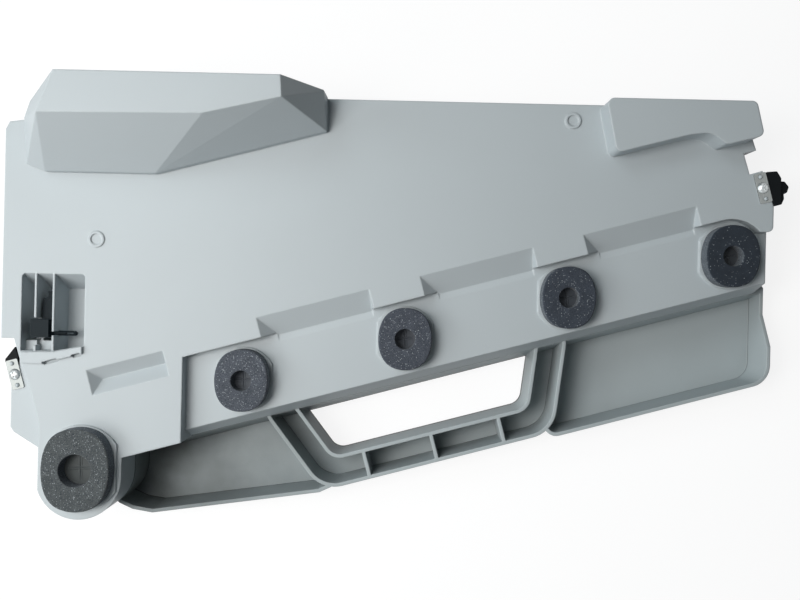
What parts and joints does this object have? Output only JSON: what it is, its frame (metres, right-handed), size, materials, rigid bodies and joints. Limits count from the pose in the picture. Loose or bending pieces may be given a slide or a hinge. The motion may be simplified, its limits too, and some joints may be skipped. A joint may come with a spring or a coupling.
{
  "type": "printer waste toner tray",
  "caption": "Flat collecting tray for waste toner: two moulded shells with a carrying grip, foam-ringed ports along a slanted ledge, collecting blocks and a level lever.",
  "frame": {"origin": "on the flat user-side face that the tray lies on, near its middle, 92.8 mm right of and 49.8 mm above the first small port", "axes": "+Z out of the port side, +X along the long edge to the right, +Y towards the edge with the two collecting blocks"},
  "size_m": [0.4693, 0.2542, 0.0945],
  "materials": {
    "shell_plastic": "fine spark texture, light cool grey",
    "cover_plastic": "fine spark texture, light cool grey",
    "seal_foam": "open-cell foam, charcoal with pale specks",
    "slit_rubber": "thin matt rubber",
    "lever_plastic": "smooth black moulding",
    "catch_plastic": "rough black moulding",
    "plate_steel": "bright zinc-plated sheet",
    "screw_steel": "bright zinc-plated"
  },
  "bodies": {
    "tray": {"cover": "cover_plastic", "port_shell": "shell_plastic", "foam_seal_1": "seal_foam", "foam_seal_2": "seal_foam", "foam_seal_3": "seal_foam", "foam_seal_4": "seal_foam", "foam_seal_large": "seal_foam", "diaphragm_1": "slit_rubber", "diaphragm_2": "slit_rubber", "diaphragm_3": "slit_rubber", "diaphragm_4": "slit_rubber", "diaphragm_large": "slit_rubber", "catch_plate_left": "plate_steel", "catch_plate_right": "plate_steel", "catch_screw_left": "screw_steel", "catch_screw_right": "screw_steel", "catch_left": "catch_plastic", "catch_right": "catch_plastic"},
    "lever": {"level_lever": "lever_plastic"}
  },
  "joints": [
    {"name": "lever_hinge", "type": "hinge", "parent": "tray", "child": "lever", "pos_m": [-0.212, -0.0245, 0.043], "axis": [1, 0, 0], "range_deg": [0, 30]}
  ]
}
